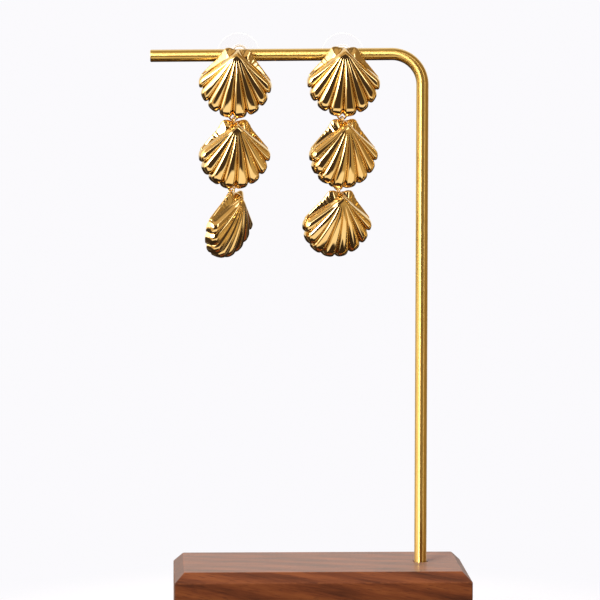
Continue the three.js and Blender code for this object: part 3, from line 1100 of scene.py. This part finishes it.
@dataclass
class Findings:
    """The wire parts: jump rings, the eyes behind the shells, and the ear post."""

    link_radius: float = 1.15
    link_wire: float = 0.24
    link_gap: float = 0.05
    eye_radius: float = 0.8
    eye_wire: float = 0.21
    eye_behind: float = 1.1
    stem_bite: float = 0.5
    stem_drop: float = 0.5
    lower_eye_z: float = -7.85
    upper_eye_z: float = 8.2
    post_z: float = 6.55
    post_end: float = 8
    standoff: float = 3.175 / 2 + 0.7

    def ring(self) -> Patch:
        """Gives a jump ring that hangs from the origin by its upper wire: a wire circle with a fine cut.

        Returns:
            The closed surface.
        """
        half_cut = self.link_gap / 2 / self.link_radius
        a = np.radians(150) + np.linspace(half_cut, 2 * np.pi - half_cut, 73)
        path = self.link_radius * np.stack([np.sin(a), 0 * a, np.cos(a)], axis=-1)
        path[:, 2] -= self.link_radius
        wire = np.full(len(a), self.link_wire)
        wire[[0, -1]] *= 0.85
        return tube(path, (0, 1, 0), wire, 20)

    def eye(self, z: float, stem_z: float) -> list[Patch]:
        """Gives an upright wire eye behind the back, and the short stem that joins it to the shell.

        Args:
            z: Height of the eye's centre in the shell's frame.
            stem_z: Height of the stem.

        Returns:
            The two closed surfaces.
        """
        a = np.linspace(0, 2 * np.pi, 48, endpoint=False)[:, None]
        b = np.linspace(0, 2 * np.pi, 16, endpoint=False)
        out = self.eye_radius + self.eye_wire * np.cos(b)
        x = self.eye_wire * np.sin(b) + 0 * a
        ring = np.stack([x, self.eye_behind + out * np.cos(a), z + out * np.sin(a)], axis=-1)
        y = np.array([-self.stem_bite, -0.1, 0, 0.1, 0.25, 0.4, 0.5])
        radius = np.array([0.32, 0.42, 0.4, 0.33, 0.27, 0.23, 0.18])
        return [Patch(ring, None, None), pin(y, radius, stem_z, 20)]

    def post(self) -> Patch:
        """Gives the ear post: a flare of solder at the shell, a notch for the back and a rounded tip.

        Returns:
            The closed surface, along Y in the shell's frame.
        """
        tip = self.standoff + self.post_end
        y = np.array([-1.6, -0.1, 0.02, 0.1, 0.22, 0.4, 0.6, 1, 3, 5])
        radius = np.array([0.4, 0.78, 0.72, 0.6, 0.49, 0.42, 0.4, 0.4, 0.4, 0.4])
        y_tip = tip - np.array([2.3, 2.15, 2.0, 1.8, 1.65, 1.5, 0.6, 0.4, 0.22, 0.1, 0.03, 0])
        r_tip = np.array([0.4, 0.37, 0.31, 0.31, 0.37, 0.4, 0.4, 0.39, 0.35, 0.27, 0.16, 0.08])
        return pin(np.concatenate([y, y_tip]), np.concatenate([radius, r_tip]), self.post_z, 28)


@dataclass
class EarBack:
    """The clear back: a thin disc with a tapering hub on a bore."""

    disc_radius: float = 5.6
    disc_thickness: float = 0.6
    hub_radius: float = 2.3
    tip_radius: float = 1.7
    hub_length: float = 4.4
    bore: float = 0.5
    standoff: float = 3.175 / 2 + 0.75

    def surface(self) -> Patch:
        """Gives the back as a softened profile turned about the post's line."""
        corners = [
            (self.bore, 0.3),
            (self.bore, 0),
            (self.disc_radius, 0),
            (self.disc_radius, self.disc_thickness),
            (self.hub_radius, self.disc_thickness),
            (self.tip_radius, self.hub_length),
            (self.bore, self.hub_length),
            (self.bore, self.hub_length - 0.3),
        ]
        return lathed(softened(corners, [0, 0.1, 0.22, 0.22, 0.4, 0.5, 0.15, 0]), 96)


@dataclass
class Earring:
    """One earring as it hangs: turns about the vertical and backward tilts of its shells, in degrees."""

    side: str
    post_x: float
    top_turn: float
    top_tilt: float
    top_roll: float
    middle_turn: float
    lower_turn: float
    middle_tilt: float = 7.2
    lower_tilt: float = 18.9
    link_turn_share: float = 0.5

    def build(self, rod: BrassRod, gold: Material, clear: Material) -> None:
        """Builds the three shells, two jump rings and the ear back, each on its body.

        Each shell hangs plumb below the one above: down to its eye, round by the ring's turn, down one
        ring, and back by the tilt.

        Args:
            rod: The rod that the post passes through.
            gold: The finish of the metal.
            clear: The finish of the ear back.
        """
        shell, wires, back = ScallopShell(), Findings(), EarBack()
        skin = [shell.fan(), shell.ears()]
        upper_eye = wires.eye(wires.upper_eye_z, wires.upper_eye_z - wires.stem_drop)
        lower_eye = wires.eye(wires.lower_eye_z, wires.lower_eye_z)
        plumb = moved(self.post_x, 0, rod.arm_height(self.post_x)) @ turned("z", self.top_turn)
        tipped = turned("x", self.top_tilt) @ turned("y", self.top_roll)
        top = plumb @ tipped @ moved(0, -wires.standoff, -wires.post_z)
        self.hang_shell(Level.TOP, "stand", [*skin, *lower_eye, wires.post()], top, gold)
        behind = plumb @ tipped @ moved(0, back.standoff, 0)
        name, node = f"{self.side}_clutch", f"{self.side}_ear_back"
        clutch = make_piece(name, [back.surface()], behind, "stand", node, crease_deg=60)
        clutch.data.materials.append(clear)
        eye = tipped[:3, :3] @ (0, wires.eye_behind - wires.standoff, wires.lower_eye_z - wires.post_z)
        one_ring = moved(0, 0, -2 * wires.link_radius)
        from_eye = moved(0, -wires.eye_behind, -wires.upper_eye_z)
        link = plumb @ moved(*eye) @ turned("z", self.middle_turn)
        self.hang_ring("upper", link, self.middle_turn, gold)
        middle = link @ one_ring @ turned("x", self.middle_tilt)
        both_eyes = [*skin, *upper_eye, *lower_eye]
        self.hang_shell(Level.MIDDLE, f"{self.side}_middle_drop", both_eyes, middle @ from_eye, gold)
        next_eye = moved(0, 0, wires.lower_eye_z - wires.upper_eye_z)
        link = middle @ next_eye @ turned("x", -self.middle_tilt) @ turned("z", self.lower_turn)
        self.hang_ring("lower", link, self.lower_turn, gold)
        lower = link @ one_ring @ turned("x", self.lower_tilt)
        self.hang_shell(Level.LOWER, f"{self.side}_lower_drop", [*skin, *upper_eye], lower @ from_eye, gold)

    def hang_shell(
        self, level: Level, body: str, patches: list[Patch], place: np.ndarray, gold: Material
    ) -> None:
        """Makes one shell with its wire parts.

        Args:
            level: Which shell of the earring it is.
            body: The body it rides on.
            patches: Its closed surfaces.
            place: The matrix of its place.
            gold: Its finish.
        """
        name = f"{self.side}_{level.value}_scallop"
        node = f"{self.side}_{level.value}_shell"
        make_piece(name, patches, place, body, node).data.materials.append(gold)

    def hang_ring(self, level: str, link: np.ndarray, turn: float, gold: Material) -> None:
        """Makes one jump ring, which takes only part of the turn between its shells.

        Args:
            level: The ring's place, upper or lower.
            link: The matrix of the hanging point, with the whole turn.
            turn: The whole turn in degrees.
            gold: Its finish.
        """
        place = link @ turned("z", -turn * (1 - self.link_turn_share))
        name = f"{self.side}_{level}_link"
        node = f"{self.side}_{level}_jump_ring"
        make_piece(name, [Findings().ring()], place, name, node).data.materials.append(gold)


@dataclass(frozen=True)
class Window:
    """A soft-edged bright or dark patch of the studio, by direction seen from the object.

    Azimuth 0 looks towards the camera's side and grows to the right; both angles are in degrees.
    """

    left: float
    right: float
    low: float
    high: float
    light: tuple
    soft: float = 4


@dataclass
class Studio:
    """Camera, pale floor and soft light all round."""

    camera_place: tuple = (-45.2, -900, 162.26)
    camera_yaw_deg: float = 1.7401
    camera_pitch_deg: float = -4.4508
    camera_roll_deg: float = -0.0411
    lens: float = 209.442
    shift: tuple = (0.08, -0.03)
    backdrop: tuple = colour(0.964, 0.955, 0.98)
    floor_radius: float = 6
    floor_gap: float = 0.00002
    floor_fade: tuple = (0.045, 0.12)
    floor_pale: tuple = (colour(0.6, 0.595, 0.61), colour(0.62, 0.615, 0.63))
    floor_bounce: tuple = colour(0.1, 0.09, 0.1)
    windows: tuple = (
        Window(-126, -46, -14, 72, (0.70, 0.53, 0.33)),
        Window(-118, -88, -8, 52, (1.7, 1.5, 1.25), 6),
        Window(50, 130, -16, 72, (0.30, 0.20, 0.09)),
        Window(38, 130, -30, -14, (0.62, 0.45, 0.22), 6),
        Window(38, 62, -26, 14, (0.50, 0.36, 0.17), 6),
        Window(-30, 60, 38, 66, (0.62, 0.46, 0.27), 8),
        Window(-52, 64, -48, -25, (1.08, 0.95, 0.77), 3),
        Window(-88, -50, -8, 44, (2.4, 2.3, 2.2), 4),
        Window(-60, -34, -30, 0, (0.66, 0.49, 0.28), 5),
        Window(-52, -29, -3, 44, (3.4, 3.3, 3.2), 5),
        Window(-46, -24, 4, 36, (13, 12.7, 12), 4),
        Window(38, 50, 14, 44, (3, 2.9, 2.8), 4),
    )
    dark: tuple = colour(0.056, 0.039, 0.03)
    nadir: tuple = colour(0.035, 0.024, 0.018)
    back_wall: tuple = colour(0.93, 0.92, 0.94)
    ceiling: tuple = colour(0.30, 0.22, 0.12)
    ambient: tuple = (colour(0.17, 0.16, 0.16), colour(2.1, 2.05, 2.05))
    ambient_rise: tuple = (-0.1, 0.95)
    back_wall_from: tuple = (112, 128)
    ceiling_from: tuple = (62, 80)
    dark_behind_from: tuple = (-1, -9)
    nadir_from: tuple = (-48, -52)

    def place_camera(self) -> None:
        """Puts the camera at the picture's viewpoint, turned by its yaw, pitch and roll."""
        data = bpy.data.cameras.new("camera")
        data.lens = self.lens
        data.sensor_width = 36
        data.shift_x, data.shift_y = self.shift
        data.clip_start, data.clip_end = 0.01, 50
        camera = bpy.data.objects.new("camera", data)
        camera.location = np.array(self.camera_place) * MM
        camera.rotation_mode = "XYZ"
        matrix = (
            turned("z", -self.camera_yaw_deg)
            @ turned("x", 90 + self.camera_pitch_deg)
            @ turned("z", -self.camera_roll_deg)
        )
        camera.rotation_euler = Matrix(matrix[:3, :3].tolist()).to_euler()
        bpy.context.scene.collection.objects.link(camera)
        bpy.context.scene.camera = camera

    def lay_floor(self) -> None:
        """Lays a round pale floor that fades into the backdrop with distance from the block."""
        sides = 96
        a = np.linspace(0, 2 * np.pi, sides, endpoint=False)
        radii = np.array([0.08, 0.2, 0.5, 1.5, self.floor_radius])
        points = np.stack([np.outer(radii, np.cos(a)), np.outer(radii, np.sin(a))], axis=-1).reshape(-1, 2)
        vertices = np.column_stack([points, np.full(len(points), -self.floor_gap)])
        number = np.arange(len(points)).reshape(-1, sides)
        beside = np.roll(number, -1, axis=1)
        quads = np.stack([number[:-1], number[1:], beside[1:], beside[:-1]], axis=-1).reshape(-1, 4)
        mesh = bpy.data.meshes.new("floor")
        mesh.from_pydata(vertices.tolist(), [], [number[0].tolist(), *quads.tolist()])
        floor = bpy.data.objects.new("floor", mesh)
        bpy.context.scene.collection.objects.link(floor)
        floor.visible_glossy = False
        material, bench, shader = new_material("pale_floor")
        place = bench.node("TexCoord").outputs["Object"]
        ray = bench.node("LightPath").outputs
        pale = bench.blend(bench.noise(place, 300, detail=4), *self.floor_pale)
        base = bench.blend(ray["Is Diffuse Ray"], pale, self.floor_bounce)
        bench.fill(shader, {"Base Color": base, "Roughness": 0.7})
        seen = bench.scaled(bench.ranged(bench.length(place), *self.floor_fade), ray["Is Camera Ray"])
        glow = bench.node("Emission", {"Color": self.backdrop, "Strength": 1})
        mixed = bench.node("MixShader", {0: seen, 1: shader.outputs[0], 2: glow.outputs[0]})
        bench.fill(material.node_tree.nodes["Material Output"], {0: mixed.outputs[0]})
        mesh.materials.append(material)

    def reflected(self, bench: Bench, z: Socket, azimuth: Socket) -> object:
        """Gives what reflections see: the windows over a dark room, by azimuth and elevation.

        Args:
            bench: A bench on the world's tree.
            z: The direction's upward part.
            azimuth: Its azimuth in degrees.

        Returns:
            The colour's socket.
        """
        elevation = bench.math("DEGREES", bench.math("ARCSINE", z))
        behind = bench.ranged(bench.math("ABSOLUTE", azimuth), *self.back_wall_from)
        shown = bench.blend(behind, self.dark, self.back_wall)
        for window in self.windows:
            inside, soft = 1, window.soft / 2
            sides = (azimuth, window.left, window.right), (elevation, window.low, window.high)
            for angle, low, high in sides:
                off = bench.math("ABSOLUTE", bench.math("SUBTRACT", angle, (low + high) / 2))
                half = (high - low) / 2
                inside = bench.scaled(inside, bench.ranged(off, half + soft, half - soft))
            shown = bench.blend(inside, shown, colour(*window.light))
        shown = bench.blend(bench.ranged(elevation, *self.ceiling_from), shown, self.ceiling)
        below = bench.scaled(bench.ranged(elevation, *self.dark_behind_from), behind)
        below = bench.math("MAXIMUM", below, bench.ranged(elevation, *self.nadir_from))
        return bench.blend(below, shown, self.nadir)

    def light_world(self) -> None:
        """Lights the studio: the camera sees the backdrop, and reflections see windows by direction."""
        world = bpy.data.worlds.new("studio")
        world.use_nodes = True
        world.node_tree.nodes.clear()
        bpy.context.scene.world = world
        bench = Bench(world.node_tree)
        x, y, z = bench.node("SeparateXYZ", {0: bench.node("TexCoord").outputs["Generated"]}).outputs
        azimuth = bench.math("DEGREES", bench.math("ARCTAN2", x, bench.scaled(y, -1)))
        ambient = bench.blend(bench.ranged(z, *self.ambient_rise), *self.ambient)
        glossy, soft, plain = (
            bench.node("Background", {"Color": light, "Strength": 1}).outputs[0]
            for light in (self.reflected(bench, z, azimuth), ambient, self.backdrop)
        )
        ray = bench.node("LightPath").outputs
        lit = bench.node("MixShader", {0: ray["Is Diffuse Ray"], 1: glossy, 2: soft}).outputs[0]
        through = bench.math("MAXIMUM", ray["Is Camera Ray"], ray["Is Transmission Ray"])
        final = bench.node("MixShader", {0: through, 1: lit, 2: plain}).outputs[0]
        bench.node("OutputWorld", {0: final})

    def build(self) -> None:
        """Builds the camera, the floor and the light."""
        self.place_camera()
        self.lay_floor()
        self.light_world()
        bpy.context.scene.view_settings.view_transform = "Standard"


def main() -> None:
    """Builds the studio and every piece in order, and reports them."""
    logging.basicConfig(level=logging.INFO, format="%(message)s", stream=sys.stdout)
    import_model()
    Studio().build()
    LOG.info("studio: camera, floor and light")
    effects = Effects()
    block, rod = WalnutBlock(), BrassRod()
    block.dress(block.build(), effects)
    rod.dress(rod.build(), effects)
    gold = PolishedGold().build(effects)
    clear = ClearPlastic().build(effects)
    earrings = (
        Earring("left", -21.5, -5, 5, 4.5, 19, 43),
        Earring("right", 5.65, 2, 0, 1.8, 20, -2),
    )
    for earring in earrings:
        earring.build(rod, gold, clear)


if __name__ == "__main__":
    main()
